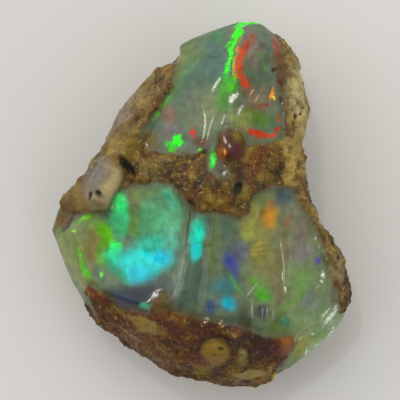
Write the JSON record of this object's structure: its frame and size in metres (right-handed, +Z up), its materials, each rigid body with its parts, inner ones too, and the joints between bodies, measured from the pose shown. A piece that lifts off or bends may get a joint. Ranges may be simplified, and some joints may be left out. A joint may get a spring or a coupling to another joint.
{
  "type": "rough opal",
  "caption": "Rough precious opal: a glassy broken nodule with play of colour in its windows and brown host rock left on its edges, lying on its flattest face.",
  "frame": {"origin": "on the resting face, under the middle of the stone's outline", "axes": "+Z up out of the opal windows, +Y along the stone towards its narrow end, +X to the right when it is looked down on with the narrow end away"},
  "size_m": [0.0179, 0.022, 0.0098],
  "materials": {
    "opal": "glassy milky opal with play of colour, and granular brown host rock"
  },
  "bodies": {
    "root": {"rough_opal": "opal"}
  },
  "joints": []
}
